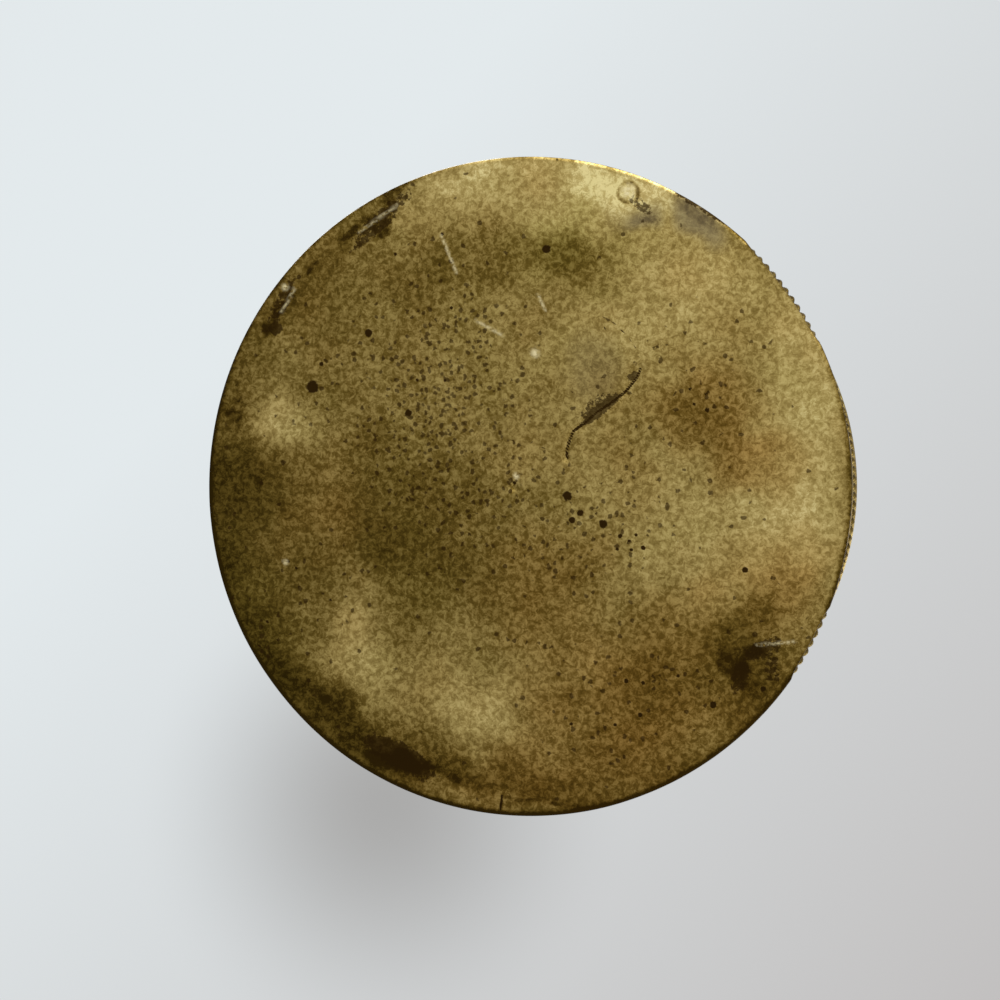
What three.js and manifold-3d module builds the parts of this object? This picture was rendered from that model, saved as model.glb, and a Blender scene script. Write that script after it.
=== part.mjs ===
// A round trinket box of sheet brass with twisted wire borders and a lid that lifts off.
// The body is a rolled strip soldered on a flat disc, with a collar inside it for the lid.
// The lid is a raised disc soldered on a shorter strip that slips over the collar.
// Millimetres, +Z up, origin at the centre of the underside.
import * as THREE from "three";
import { mergeVertices } from "three/addons/utils/BufferGeometryUtils.js";
import Module from "manifold-3d";

const wasm = await Module();
wasm.setup();

// Discs
const BASE_RADIUS = 35;
const BASE_SHEET = 0.8;
const BASE_EDGE_ROUND = 0.2;
const LID_SHEET = 0.7;
const LID_EDGE_ROUND = 0.15;
const PUNCH_RADIUS = 0.35; // the centre mark that the disc was scribed from
const PUNCH_DEPTH = 0.25;

// Rolled strips
const WALL_SHEET = 0.7;
const BODY_LIP_HEIGHT = 25; // from the table to the body's upper edge
const SKIRT_HEIGHT = 11;
const SEAM_GAP = 0.2; // between the two ends of a rolled strip
const BODY_SEAM_ANGLE = THREE.MathUtils.degToRad(100);
const SKIRT_SEAM_ANGLE = THREE.MathUtils.degToRad(80);

// Raised middle of the lid
const BORDER_WIDTH = 5; // flat border outside the step
const STEP_WIDTH = 1.4;
const STEP_RISE = 0.7;
const DOME_RISE = 1.8;

// Collar that the lid slips over
const COLLAR_SHEET = 0.6;
const COLLAR_STAND = 5; // how far it stands above the body's lip
const COLLAR_REACH = 8; // how far it goes down inside the body
const COLLAR_LEAD_IN = 0.35;

// Wire borders
const STRAND = 0.7; // one strand's diameter, two strands to a rope
const STRAND_PITCH = 1.05; // from one strand's crown to the next along the rope
const TWIST_WAIST = 0.6; // the rope's narrow half-width as a share of its wide one
const ROPE_BUTT_GAP = 0.3;
const BASE_ROPE_BUTT_ANGLE = THREE.MathUtils.degToRad(110);
const LID_ROPE_BUTT_ANGLE = THREE.MathUtils.degToRad(18);
const LIP_WIRE_HEIGHT = 1.5;
const LIP_WIRE_DEPTH = 1.1;

// Solder fillets
const FILLET_LEG = 0.9;

// Fits
const SOLDER_FILM = 0.1; // between two pieces that are soldered together
const SLIP_GAP = 0.25; // between the collar and the lid's skirt, all round
const LID_REST_GAP = 0.2; // between the closed lid and the body's lip

// Facets
const ROUND_STEPS = 52;
const DOME_STEPS = 4;
const ROPE_SECTION_POINTS = 4;
const ROPE_STATIONS_PER_TURN = 6;
const WIRE_ARC_STEPS = 4;

// Sizes that follow from the ones above
const ROPE_RADIUS = STRAND;
const WALL_RADIUS = BASE_RADIUS - 2 * ROPE_RADIUS - SOLDER_FILM;
const WALL_INNER = WALL_RADIUS - WALL_SHEET;
const LID_RADIUS = WALL_RADIUS + SOLDER_FILM + 2 * ROPE_RADIUS;
const SKIRT_BOTTOM = BODY_LIP_HEIGHT + LID_REST_GAP;
const SKIRT_TOP = SKIRT_BOTTOM + SKIRT_HEIGHT;
const COLLAR_TOP = BODY_LIP_HEIGHT + COLLAR_STAND;
const COLLAR_BOTTOM = BODY_LIP_HEIGHT - COLLAR_REACH;
const STEP_OUTER = LID_RADIUS - BORDER_WIDTH;
const STEP_INNER = STEP_OUTER - STEP_WIDTH;

const AGED_BRASS = { color: 0x96824a, roughness: 0.45, metalness: 1 };
const DARK_BRASS = { color: 0x6e5a30, roughness: 0.5, metalness: 1 };
const OLD_SOLDER = { color: 0x77746c, roughness: 0.6, metalness: 1 };

// A profile of [radius, height] pairs turned round the Z axis.
function revolve(profile) {
  const points = profile.map(([radius, height]) => new THREE.Vector2(radius, height));
  return new THREE.LatheGeometry(points, ROUND_STEPS).rotateX(Math.PI / 2);
}

// The same for a ring, whose profile comes back to its first point.
function revolveRing(profile) {
  return revolve([...profile, profile[0]]);
}

// A closed mesh as a solid that can be cut.
function toSolid(geometry) {
  const bare = geometry.clone();
  bare.deleteAttribute("normal");
  bare.deleteAttribute("uv");
  const merged = mergeVertices(bare, 1e-4);
  const vertProperties = merged.getAttribute("position").array;
  const triVerts = new Uint32Array(merged.index.array);
  return new wasm.Manifold(new wasm.Mesh({ numProp: 3, vertProperties, triVerts }));
}

function toGeometry(solid) {
  const mesh = solid.getMesh();
  const geometry = new THREE.BufferGeometry();
  geometry.setAttribute("position", new THREE.BufferAttribute(mesh.vertProperties, 3));
  geometry.setIndex(new THREE.BufferAttribute(mesh.triVerts, 1));
  geometry.computeVertexNormals();
  return geometry;
}

// A strip of sheet rolled into a hoop, its two ends facing each other across the seam.
function rolledStrip(outerRadius, sheet, bottom, height, seamAngle) {
  const halfGap = SEAM_GAP / 2 / outerRadius;
  const start = seamAngle + halfGap;
  const end = seamAngle + 2 * Math.PI - halfGap;
  const outline = new THREE.Shape();
  outline.absarc(0, 0, outerRadius, start, end, false);
  outline.absarc(0, 0, outerRadius - sheet, end, start, true);
  outline.closePath();
  const settings = { depth: height, bevelEnabled: false, curveSegments: ROUND_STEPS / 2 };
  return new THREE.ExtrudeGeometry(outline, settings).translate(0, 0, bottom);
}

// Two strands twisted together and bent into a ring, with its ends butted.
// The section is two strands wide one way and about one the other, and it turns as it goes round.
function twistedRing(ringRadius, height, buttAngle) {
  const turns = Math.round((Math.PI * ringRadius) / STRAND_PITCH);
  const stations = turns * ROPE_STATIONS_PER_TURN;
  const across = ROPE_RADIUS;
  const between = TWIST_WAIST * ROPE_RADIUS;
  const geometry = new THREE.TorusGeometry(ringRadius, ROPE_RADIUS, ROPE_SECTION_POINTS, stations);
  const position = geometry.getAttribute("position");
  for (let i = 0; i < position.count; i += 1) {
    const [x, y, z] = [position.getX(i), position.getY(i), position.getZ(i)];
    const round = Math.atan2(y, x);
    const section = Math.atan2(z, Math.hypot(x, y) - ringRadius);
    const reach = Math.hypot(across * Math.cos(section), between * Math.sin(section));
    const twisted = section - turns * round;
    const radius = ringRadius + reach * Math.cos(twisted);
    position.setXYZ(
      i,
      radius * Math.cos(round),
      radius * Math.sin(round),
      height + reach * Math.sin(twisted),
    );
  }
  const cut = new THREE.BoxGeometry(6 * ROPE_RADIUS, ROPE_BUTT_GAP, 6 * ROPE_RADIUS);
  cut.translate(ringRadius, 0, height).rotateZ(buttAngle);
  return toGeometry(toSolid(geometry).subtract(toSolid(cut)));
}

// A bead of solder in the inside corner of a wall and a disc: up is 1 over a floor, -1 under a lid.
function solderFillet(wallInner, discFace, up) {
  const outer = wallInner - SOLDER_FILM;
  const foot = discFace + up * SOLDER_FILM;
  const corner = [outer, foot];
  const onWall = [outer, foot + up * FILLET_LEG];
  const onDisc = [outer - FILLET_LEG, foot];
  return revolveRing(up > 0 ? [corner, onWall, onDisc] : [corner, onDisc, onWall]);
}

// Flat disc under the wall, wider than it by the rope, with its centre mark underneath.
function baseDisc() {
  const top = BASE_SHEET;
  const round = BASE_EDGE_ROUND;
  return revolve([
    [0, PUNCH_DEPTH],
    [PUNCH_RADIUS, 0],
    [BASE_RADIUS - round, 0],
    [BASE_RADIUS, round],
    [BASE_RADIUS, top - round],
    [BASE_RADIUS - round, top],
    [0, top],
  ]);
}

function bodyWall() {
  const height = BODY_LIP_HEIGHT - BASE_SHEET;
  return rolledStrip(WALL_RADIUS, WALL_SHEET, BASE_SHEET, height, BODY_SEAM_ANGLE);
}

// Soldered inside the body, then drawn in above the lip to let the lid slip over.
function innerCollar() {
  const soldered = WALL_INNER - SOLDER_FILM;
  const slipped = WALL_INNER - SLIP_GAP;
  const shoulder = BODY_LIP_HEIGHT - 2 * COLLAR_SHEET;
  return revolveRing([
    [soldered, COLLAR_BOTTOM],
    [soldered, shoulder],
    [slipped, BODY_LIP_HEIGHT],
    [slipped, COLLAR_TOP - COLLAR_LEAD_IN],
    [slipped - COLLAR_LEAD_IN, COLLAR_TOP],
    [slipped - COLLAR_SHEET, COLLAR_TOP],
    [slipped - COLLAR_SHEET, BODY_LIP_HEIGHT],
    [soldered - COLLAR_SHEET, shoulder],
    [soldered - COLLAR_SHEET, COLLAR_BOTTOM],
  ]);
}

function baseRope() {
  const ringRadius = BASE_RADIUS - ROPE_RADIUS;
  const height = BASE_SHEET + SOLDER_FILM + ROPE_RADIUS;
  return twistedRing(ringRadius, height, BASE_ROPE_BUTT_ANGLE);
}

// The dome's upper face from the step to the axis, as part of a large sphere.
function domeProfile(rimHeight) {
  const sphere = (STEP_INNER ** 2 + DOME_RISE ** 2) / (2 * DOME_RISE);
  const points = [];
  for (let i = 0; i <= DOME_STEPS; i += 1) {
    const radius = STEP_INNER * (1 - i / DOME_STEPS);
    const rise = Math.sqrt(sphere ** 2 - radius ** 2) - (sphere - DOME_RISE);
    points.push([radius, rimHeight + STEP_RISE + rise]);
  }
  return points;
}

// Sheet of one thickness: flat border, a step up, and a low dome inside it.
function lidDisc() {
  const under = SKIRT_TOP;
  const top = under + LID_SHEET;
  const round = LID_EDGE_ROUND;
  return revolve([
    ...domeProfile(under).reverse(),
    [STEP_OUTER, under],
    [LID_RADIUS - round, under],
    [LID_RADIUS, under + round],
    [LID_RADIUS, top - round],
    [LID_RADIUS - round, top],
    [STEP_OUTER, top],
    ...domeProfile(top),
  ]);
}

function lidSkirt() {
  return rolledStrip(WALL_RADIUS, WALL_SHEET, SKIRT_BOTTOM, SKIRT_HEIGHT, SKIRT_SEAM_ANGLE);
}

function lidRope() {
  const ringRadius = WALL_RADIUS + SOLDER_FILM + ROPE_RADIUS;
  const height = SKIRT_TOP - SOLDER_FILM - ROPE_RADIUS;
  return twistedRing(ringRadius, height, LID_ROPE_BUTT_ANGLE);
}

// Half-round wire round the skirt's lower edge, which the fingers lift the lid by.
function lidLipWire() {
  const inner = WALL_RADIUS + SOLDER_FILM;
  const middle = SKIRT_BOTTOM + LIP_WIRE_HEIGHT / 2;
  const profile = [];
  for (let i = 0; i <= WIRE_ARC_STEPS; i += 1) {
    const turn = -Math.PI / 2 + (Math.PI * i) / WIRE_ARC_STEPS;
    const radius = inner + LIP_WIRE_DEPTH * Math.cos(turn);
    profile.push([radius, middle + (LIP_WIRE_HEIGHT / 2) * Math.sin(turn)]);
  }
  return revolveRing(profile);
}

function piece(name, geometry, finish) {
  const mesh = new THREE.Mesh(geometry, new THREE.MeshStandardMaterial(finish));
  mesh.name = name;
  return mesh;
}

const body = new THREE.Group();
body.add(
  piece("base_disc", baseDisc(), AGED_BRASS),
  piece("body_wall", bodyWall(), AGED_BRASS),
  piece("inner_collar", innerCollar(), AGED_BRASS),
  piece("base_rope", baseRope(), DARK_BRASS),
  piece("base_solder", solderFillet(WALL_INNER, BASE_SHEET, 1), OLD_SOLDER),
);

const lid = new THREE.Group();
lid.add(
  piece("lid_disc", lidDisc(), AGED_BRASS),
  piece("lid_skirt", lidSkirt(), AGED_BRASS),
  piece("lid_rope", lidRope(), DARK_BRASS),
  piece("lid_lip_wire", lidLipWire(), AGED_BRASS),
  piece("lid_solder", solderFillet(WALL_INNER, SKIRT_TOP, -1), OLD_SOLDER),
);

const trinketBox = new THREE.Group();
trinketBox.add(body, lid);

export default trinketBox;
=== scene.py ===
# %% [markdown]
# # A round brass trinket box
# The box is a rolled strip of sheet brass soldered on a flat disc, with twisted wire borders and
# a lid that slips over a collar. The construction comes from the frame. This lesson remakes each
# piece with finer curves and gives it its looks: old brass under an olive-brown film, worn where
# fingers rub it, dark in its hollows, with marks that the soldering left on the underside.

# %% Load the frame
import math

import bmesh
import bpy
import numpy as np
from mathutils import Matrix, Vector, noise


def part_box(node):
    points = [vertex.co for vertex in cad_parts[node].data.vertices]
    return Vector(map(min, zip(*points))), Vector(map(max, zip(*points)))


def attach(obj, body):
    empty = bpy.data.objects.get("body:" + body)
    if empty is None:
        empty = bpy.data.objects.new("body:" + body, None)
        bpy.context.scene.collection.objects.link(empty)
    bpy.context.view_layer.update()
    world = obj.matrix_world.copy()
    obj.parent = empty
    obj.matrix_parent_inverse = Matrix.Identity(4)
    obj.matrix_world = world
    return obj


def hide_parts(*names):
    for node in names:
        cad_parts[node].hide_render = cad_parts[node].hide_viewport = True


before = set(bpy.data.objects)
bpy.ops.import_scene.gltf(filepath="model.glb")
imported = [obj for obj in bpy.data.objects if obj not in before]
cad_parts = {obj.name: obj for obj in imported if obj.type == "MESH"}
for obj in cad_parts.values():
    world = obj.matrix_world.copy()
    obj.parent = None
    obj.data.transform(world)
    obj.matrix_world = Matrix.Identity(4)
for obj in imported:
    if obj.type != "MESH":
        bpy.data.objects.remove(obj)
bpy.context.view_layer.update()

MM = 0.001

# %% [markdown]
# ## Camera
# The photograph looks up at the underside from 164 mm away, tilted by about 14 degrees towards
# the side where the borders show. A camera is placed by the direction of the box's own axis in
# the picture: that gives its turn, and the disc's centre gives its place.

# %% Camera at the photograph's angle
SENSOR_MM = 36.0
PICTURE_SIDE = 1000
FOCAL_PX = 1551
DISC_CENTRE_PX = (514, 487)
VIEW_DISTANCE = 164.4 * MM
VIEW_TILT = math.radians(13.68)
VIEW_LEAN = math.radians(2.15)

axis_up = Vector((
    math.sin(VIEW_TILT) * math.cos(VIEW_LEAN),
    math.sin(VIEW_TILT) * math.sin(VIEW_LEAN),
    -math.cos(VIEW_TILT),
))
axis_side = Vector((
    math.cos(VIEW_LEAN) * math.cos(VIEW_TILT),
    math.sin(VIEW_LEAN) * math.cos(VIEW_TILT),
    math.sin(VIEW_TILT),
))
axis_back = axis_up.cross(axis_side)
middle_px = PICTURE_SIDE / 2
centre_in_camera = Vector((
    (DISC_CENTRE_PX[0] - middle_px) / FOCAL_PX * VIEW_DISTANCE,
    -(DISC_CENTRE_PX[1] - middle_px) / FOCAL_PX * VIEW_DISTANCE,
    -VIEW_DISTANCE,
))
camera_turn = Matrix((axis_side, axis_back, axis_up))

camera_data = bpy.data.cameras.new("camera")
camera_data.sensor_width = SENSOR_MM
camera_data.lens = FOCAL_PX / PICTURE_SIDE * SENSOR_MM
camera_data.clip_start = 10 * MM
camera = bpy.data.objects.new("camera", camera_data)
camera.matrix_world = Matrix.Translation(-(camera_turn @ centre_in_camera)) @ camera_turn.to_4x4()
bpy.context.collection.objects.link(camera)
bpy.context.scene.camera = camera
print("camera at mm", [round(c / MM, 1) for c in camera.matrix_world.translation])

# %% [markdown]
# The marks on the underside are known by where they lie in the picture. A ray from the camera
# through such a pixel meets the disc's plane in one point, which gives the mark its real place.


# %% From a pixel to the underside
def pixel_ray(px, py):
    return Vector(((px - middle_px) / FOCAL_PX, -(py - middle_px) / FOCAL_PX, -1.0))


def on_disc(px, py):
    ray = pixel_ray(px, py)
    reach = centre_in_camera.dot(axis_up) / ray.dot(axis_up)
    offset = ray * reach - centre_in_camera
    return np.array((offset.dot(axis_side), offset.dot(axis_back))) / MM


PX = VIEW_DISTANCE / MM / FOCAL_PX
print("one pixel is", round(PX, 3), "mm on the disc")

# %% [markdown]
# ## Sizes
# The frame's boxes give where each piece lies. The sheets and strands are thin, so their own
# sizes are named here, in millimetres.

# %% Sizes of sheet and wire
DISC_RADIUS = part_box("base_disc")[1][0] / MM
BASE_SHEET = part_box("base_disc")[1][2] / MM
WALL_SHEET = 0.7
COLLAR_SHEET = 0.6
LID_SHEET = 0.7
STRAND = 0.7
SOLDER_FILM = 0.1
ROPE_RING = DISC_RADIUS - STRAND
WALL_RADIUS = DISC_RADIUS - 2 * STRAND - SOLDER_FILM
WALL_INNER = WALL_RADIUS - WALL_SHEET
TURN_STEPS = 240


def heights(node):
    low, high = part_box(node)
    return low[2] / MM, high[2] / MM


print("disc radius", round(DISC_RADIUS, 2), "wall radius", round(WALL_RADIUS, 2))

# %% [markdown]
# ## Mesh helpers
# Every piece starts in a bmesh in millimetres. One helper turns it into an object that stands for
# its node and rides on its body. Another paints a number on each point, such as how worn it is,
# which the materials read later as an attribute.


# %% Finish a piece
def to_object(name, bm, body, slot, *nodes, smooth_below=35):
    bmesh.ops.remove_doubles(bm, verts=bm.verts, dist=1e-5)
    bmesh.ops.recalc_face_normals(bm, faces=bm.faces)
    bmesh.ops.scale(bm, vec=(MM, MM, MM), verts=bm.verts)
    for face in bm.faces:
        face.smooth = True
    mesh = bpy.data.meshes.new(name)
    bm.to_mesh(mesh)
    bm.free()
    mesh.set_sharp_from_angle(angle=math.radians(smooth_below))
    piece = bpy.data.objects.new(name, mesh)
    bpy.context.collection.objects.link(piece)
    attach(piece, body)
    if nodes:
        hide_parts(*nodes)
    mesh.calc_loop_triangles()
    print(name, len(mesh.loop_triangles), "triangles")
    return piece


def points_of(piece):
    flat = np.empty(len(piece.data.vertices) * 3)
    piece.data.vertices.foreach_get("co", flat)
    return flat.reshape(-1, 3) / MM


def paint(piece, name, values):
    layer = piece.data.attributes.new(name, "FLOAT", "POINT")
    layer.data.foreach_set("value", np.ascontiguousarray(values, dtype=np.float32))


# %% [markdown]
# A turned piece is drawn as a closed outline beside the axis. Its corners are eased first, as a
# file or a thumb would do it, and then the outline is spun round the axis. A piece with a butt
# joint is spun almost all the way round, and its two ends are closed with faces.


# %% Turned pieces
def outline_bmesh(outline, ease, ease_steps=2):
    bm = bmesh.new()
    corners = [bm.verts.new((radius, 0.0, height)) for radius, height in outline]
    bm.faces.new(corners)
    if ease > 0:
        bmesh.ops.bevel(
            bm, geom=bm.verts[:], offset=ease, segments=ease_steps,
            affect="VERTICES", profile=0.5, material=-1,
        )
    bmesh.ops.delete(bm, geom=bm.faces[:], context="FACES_ONLY")
    return bm


def turn_round(bm, angle, axis="Z"):
    turn = Matrix.Rotation(angle, 3, axis)
    bmesh.ops.rotate(bm, verts=bm.verts, cent=(0, 0, 0), matrix=turn)


def spin_round(bm, steps=TURN_STEPS):
    bmesh.ops.spin(
        bm, geom=bm.verts[:] + bm.edges[:], cent=(0, 0, 0), axis=(0, 0, 1),
        angle=2 * math.pi, steps=steps, use_merge=True,
    )


def spin_with_gap(bm, start, half_gap, steps):
    turn_round(bm, start + half_gap)
    first_end = bm.edges[:]
    last = bmesh.ops.spin(
        bm, geom=bm.verts[:] + bm.edges[:], cent=(0, 0, 0), axis=(0, 0, 1),
        angle=2 * math.pi - 2 * half_gap, steps=steps,
    )["geom_last"]
    last_end = [item for item in last if isinstance(item, bmesh.types.BMEdge)]
    bmesh.ops.edgenet_fill(bm, edges=first_end)
    bmesh.ops.edgenet_fill(bm, edges=last_end)


# %% [markdown]
# ## Node helpers
# A material is a small graph. These helpers add a node and join two sockets, so that each recipe
# below reads as a list of what it mixes.


# %% Node helpers
def add(tree, kind, **settings):
    node = tree.nodes.new(kind)
    for name, value in settings.items():
        label = name.replace("_", " ").title() if name not in node.bl_rna.properties else name
        if label in node.inputs:
            node.inputs[label].default_value = value
        else:
            setattr(node, name, value)
    return node


def feed(tree, source, socket):
    if hasattr(source, "is_output"):
        tree.links.new(source, socket)
    else:
        socket.default_value = source


def calc(tree, operation, first, second=0.0):
    node = add(tree, "ShaderNodeMath", operation=operation)
    feed(tree, first, node.inputs[0])
    feed(tree, second, node.inputs[1])
    return node.outputs["Value"]


def noise_at(tree, place, scale, detail=4.0, roughness=0.6, distortion=0.0):
    node = add(tree, "ShaderNodeTexNoise", detail=detail, roughness=roughness, distortion=distortion)
    feed(tree, scale, node.inputs["Scale"])
    feed(tree, place, node.inputs["Vector"])
    return node.outputs["Fac"]


def swing(tree, noise_value, depth):
    centred = calc(tree, "SUBTRACT", noise_value, 0.5)
    return calc(tree, "MULTIPLY", centred, depth)


def spread(tree, value, low, high, to_low=0.0, to_high=1.0, curve="SMOOTHSTEP"):
    node = add(tree, "ShaderNodeMapRange", interpolation_type=curve)
    feed(tree, value, node.inputs["Value"])
    feed(tree, low, node.inputs["From Min"])
    feed(tree, high, node.inputs["From Max"])
    feed(tree, to_low, node.inputs["To Min"])
    feed(tree, to_high, node.inputs["To Max"])
    return node.outputs["Result"]


def blend_colours(tree, share, first, second, blend_type="MIX"):
    node = add(tree, "ShaderNodeMix", data_type="RGBA", blend_type=blend_type)
    feed(tree, share, node.inputs[0])
    feed(tree, first, node.inputs[6])
    feed(tree, second, node.inputs[7])
    return node.outputs[2]


def painted(tree, name):
    node = add(tree, "ShaderNodeAttribute", attribute_name=name)
    return node.outputs["Fac"]


def relief(tree, shader, height, strength, depth):
    bump = add(tree, "ShaderNodeBump", strength=strength, distance=depth)
    feed(tree, height, bump.inputs["Height"])
    feed(tree, bump.outputs["Normal"], shader.inputs["Normal"])


def new_material(name):
    material = bpy.data.materials.new(name)
    material.use_nodes = True
    tree = material.node_tree
    return material, tree, tree.nodes["Principled BSDF"]


def new_group(name, inputs, outputs):
    group = bpy.data.node_groups.new(name, "ShaderNodeTree")
    for label, kind in inputs:
        group.interface.new_socket(label, in_out="INPUT", socket_type=kind)
    for label, kind in outputs:
        group.interface.new_socket(label, in_out="OUTPUT", socket_type=kind)
    return group, group.nodes.new("NodeGroupInput"), group.nodes.new("NodeGroupOutput")


def use_group(tree, group, **values):
    node = add(tree, "ShaderNodeGroup", node_tree=group)
    for name, value in values.items():
        feed(tree, value, node.inputs[name.replace("_", " ").capitalize()])
    return node


# %% [markdown]
# ## Grain of old sheet
# Close up, tarnished brass looks like fine leather: the film breaks into short crooked flecks, some
# half a millimetre long, with finer dust between them. Real flecks can't be modelled one by one. A
# distorted noise has such shapes, and a smooth step makes them crisp. One node group serves every
# brass and solder, each with its own strength.

# %% Grain group
GRAIN_SCALE = 1500.0
DUST_SCALE = 3300.0
FLECK_START = 0.36
FLECK_END = 0.64

grain_group, grain_in, grain_out = new_group(
    "sheet_grain",
    [("Place", "NodeSocketVector"), ("Coarse", "NodeSocketFloat"), ("Fine", "NodeSocketFloat")],
    [("Tone", "NodeSocketFloat"), ("Height", "NodeSocketFloat")],
)
grain_place = grain_in.outputs["Place"]
coarse = noise_at(grain_group, grain_place, GRAIN_SCALE, roughness=0.78, distortion=0.5)
dust = noise_at(grain_group, grain_place, DUST_SCALE, detail=2.0, distortion=0.8)
flecks = spread(grain_group, coarse, FLECK_START, FLECK_END, -0.5, 0.5)
coarse_part = calc(grain_group, "MULTIPLY", flecks, grain_in.outputs["Coarse"])
fine_part = swing(grain_group, dust, grain_in.outputs["Fine"])
feed(grain_group, calc(grain_group, "ADD", coarse_part, fine_part), grain_out.inputs["Tone"])
feed(grain_group, calc(grain_group, "ADD", coarse, dust), grain_out.inputs["Height"])
print("grain group has", len(grain_group.nodes), "nodes")

# %% [markdown]
# ## Pinpricks
# Tarnish also eats small pits, up to half a millimetre wide, in loose fields. Cut into the mesh,
# thousands of them would cost more than they show. A Voronoi cell has one pit at its heart, and
# its random number decides if the pit is there, so one density value can thicken or clear a field.

# %% Pinprick group
PIT_SCALE = 1500.0
PIT_EDGE_SCALE = PIT_SCALE * 1.7
PIT_RAGGEDNESS = 0.8
PIT_REACH = 0.46
PIT_CORE = PIT_REACH * 0.6

pit_group, pit_in, pit_out = new_group(
    "pinpricks",
    [("Place", "NodeSocketVector"), ("Density", "NodeSocketFloat")],
    [("Mask", "NodeSocketFloat")],
)
pit_place = pit_in.outputs["Place"]
pit_edge = noise_at(pit_group, pit_place, PIT_EDGE_SCALE, detail=1.0, roughness=0.5)
cells = add(pit_group, "ShaderNodeTexVoronoi", scale=PIT_SCALE)
feed(pit_group, pit_place, cells.inputs["Vector"])
ragged_edge = swing(pit_group, pit_edge, PIT_RAGGEDNESS)
from_heart = calc(pit_group, "ADD", cells.outputs["Distance"], ragged_edge)
pit = spread(pit_group, from_heart, PIT_REACH, PIT_CORE)
luck = add(pit_group, "ShaderNodeSeparateColor")
feed(pit_group, cells.outputs["Color"], luck.inputs["Color"])
present = calc(pit_group, "LESS_THAN", luck.outputs["Red"], pit_in.outputs["Density"])
feed(pit_group, calc(pit_group, "MULTIPLY", pit, present), pit_out.inputs["Mask"])
print("pinprick group has", len(pit_group.nodes), "nodes")

# %% [markdown]
# ## Colours of the film
# From dark to worn, the film runs through umber, olive and straw. A warmth value leans it towards
# copper red where the zinc has gone, or towards green. This group is the only place where those
# colours are written, so all the brass pieces belong together.

# %% Film colour group
FILM_STOPS = (
    (0.00, (0.026, 0.015, 0.002)),
    (0.20, (0.072, 0.045, 0.0065)),
    (0.35, (0.127, 0.082, 0.0150)),
    (0.50, (0.225, 0.158, 0.0430)),
    (0.65, (0.345, 0.254, 0.0800)),
    (0.82, (0.520, 0.405, 0.1500)),
    (1.00, (0.790, 0.670, 0.3100)),
)
COPPER_TINT = (1.08, 0.90, 0.78, 1.0)
GREEN_TINT = (0.90, 0.98, 0.84, 1.0)

film_group, film_in, film_out = new_group(
    "film_colour",
    [("Tone", "NodeSocketFloat"), ("Warmth", "NodeSocketFloat")],
    [("Color", "NodeSocketColor")],
)
film_ramp = add(film_group, "ShaderNodeValToRGB")
film_elements = film_ramp.color_ramp.elements
while len(film_elements) < len(FILM_STOPS):
    film_elements.new(1.0)
for element, (stop, colour) in zip(film_elements, FILM_STOPS):
    element.position = stop
    element.color = (*colour, 1.0)
feed(film_group, film_in.outputs["Tone"], film_ramp.inputs["Fac"])

warm_share = spread(film_group, film_in.outputs["Warmth"], 0.0, 1.0, curve="LINEAR")
green_share = spread(film_group, film_in.outputs["Warmth"], 0.0, -1.0, curve="LINEAR")
film = film_ramp.outputs["Color"]
film = blend_colours(film_group, warm_share, film, COPPER_TINT, "MULTIPLY")
film = blend_colours(film_group, green_share, film, GREEN_TINT, "MULTIPLY")
feed(film_group, film, film_out.inputs["Color"])
print("film group has", len(film_group.nodes), "nodes")

# %% [markdown]
# ## Aged brass
# Old brass could wear a picture, but a graph stays sharp at any distance. One recipe makes each
# brass. It starts from a tone, adds broad clouds, grain and what is painted on the piece, and turns
# the sum into a colour. Stains darken the film, while spots, ragged crusts and pits cover it; in the
# crease and the punch mark these dark covers also stand for painted shade.
# Gleam, where something rubbed through the film, does the opposite. A cut holds how far noise
# moves a painted mask's edge, and the values between which the mask rises.

# %% Crusts on brass
STAIN_CUT = (1.3, 0.30, 0.95)
SPOT_CUT = (0.35, 0.44, 0.60)
RAGGED_CUT = (1.5, 0.42, 0.66)
STAIN_CRUST = 0.40
RAGGED_CRUST = 0.82
PIT_CRUST = 0.75


def cut_mask(tree, name, edge_noise, cut):
    depth, start, end = cut
    moved = calc(tree, "ADD", painted(tree, name), swing(tree, edge_noise, depth))
    return spread(tree, moved, start, end)


# the crust mask also carries painted shade: the crease's line and crusts and the dark dot in the
# punch mark
def brass_crust_and_shade(tree, place, stain, spot_noise):
    spot = cut_mask(tree, "spot", spot_noise, SPOT_CUT)
    ragged = cut_mask(tree, "ragged", spot_noise, RAGGED_CUT)
    pits = use_group(tree, pit_group, place=place, density=painted(tree, "pitting"))
    crust_and_shade = calc(tree, "MAXIMUM", calc(tree, "MULTIPLY", stain, STAIN_CRUST), spot)
    crust_and_shade = calc(tree, "MAXIMUM", crust_and_shade, calc(tree, "MULTIPLY", ragged, RAGGED_CRUST))
    return calc(tree, "MAXIMUM", crust_and_shade, calc(tree, "MULTIPLY", pits.outputs["Mask"], PIT_CRUST))


# %% Brass recipe
# crust colour, also used as painted shade in the crease and the punch mark
CRUST_AND_SHADE = (0.030, 0.015, 0.003, 1.0)
HAZE = (0.150, 0.125, 0.078, 1.0)
GLEAM = (0.860, 0.760, 0.450, 1.0)
STAIN_EDGE = 620.0
SPOT_EDGE = 2600.0
STAIN_DEPTH = 0.42
DUST_SHARE = 0.6
HUE_SCALE_SHARE = 0.7
HUE_SWING = 1.1
DULL_GAIN = 0.14
WORN_GAIN = -0.08
CRUST_DULLS = 0.35
CRUST_SINKS = 0.8


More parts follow.
